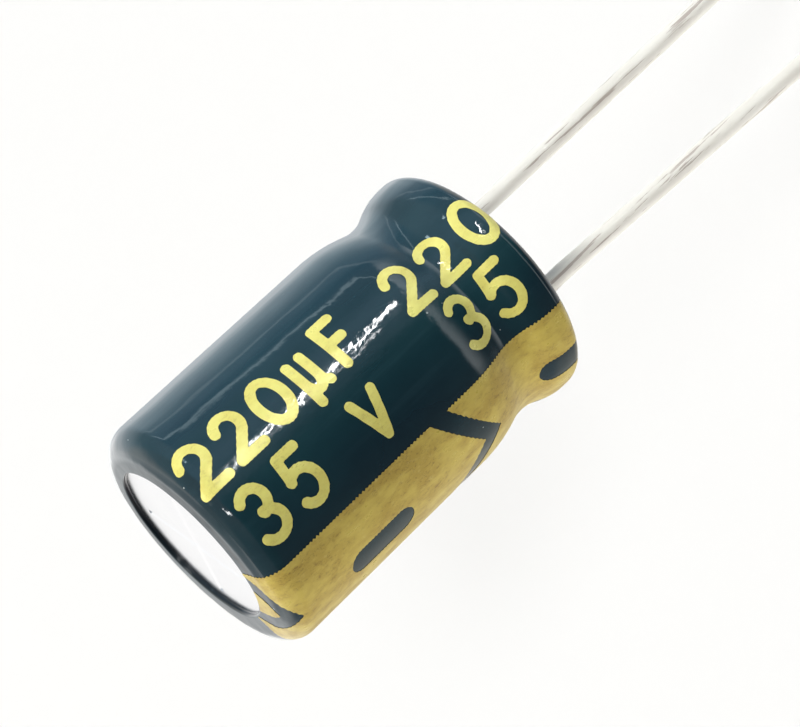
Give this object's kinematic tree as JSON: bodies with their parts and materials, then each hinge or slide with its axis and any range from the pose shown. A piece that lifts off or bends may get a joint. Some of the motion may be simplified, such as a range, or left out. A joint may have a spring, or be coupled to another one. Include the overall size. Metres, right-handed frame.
{
  "type": "radial electrolytic capacitor",
  "caption": "Radial aluminium electrolytic capacitor with a dark sleeve, a gold polarity stripe, a crimped can and two wire leads on one side.",
  "frame": {"origin": "on the can's axis in the seating plane of the crimped end, midway between the two leads", "axes": "+Z along the can's axis from the leads to the closed end, +X towards the anode lead, -X towards the cathode lead and the polarity stripe"},
  "size_m": [0.0084, 0.0084, 0.0347],
  "materials": {
    "sleeve": "glossy shrink film",
    "print": "gold ink",
    "can": "bright drawn",
    "bung": "matt",
    "wire": "tinned",
    "tab": "plain",
    "foil": "etched, matt",
    "paper": "soaked paper",
    "tape": "film tape"
  },
  "bodies": {
    "root": {"sleeve": "sleeve", "polarity_stripe": "print", "can": "can", "bung": "bung", "anode_lead": "wire", "cathode_lead": "wire", "anode_tab": "tab", "cathode_tab": "tab", "anode_foil": "foil", "cathode_foil": "foil", "inner_paper": "paper", "outer_paper": "paper", "winding_tape": "tape"}
  },
  "joints": []
}
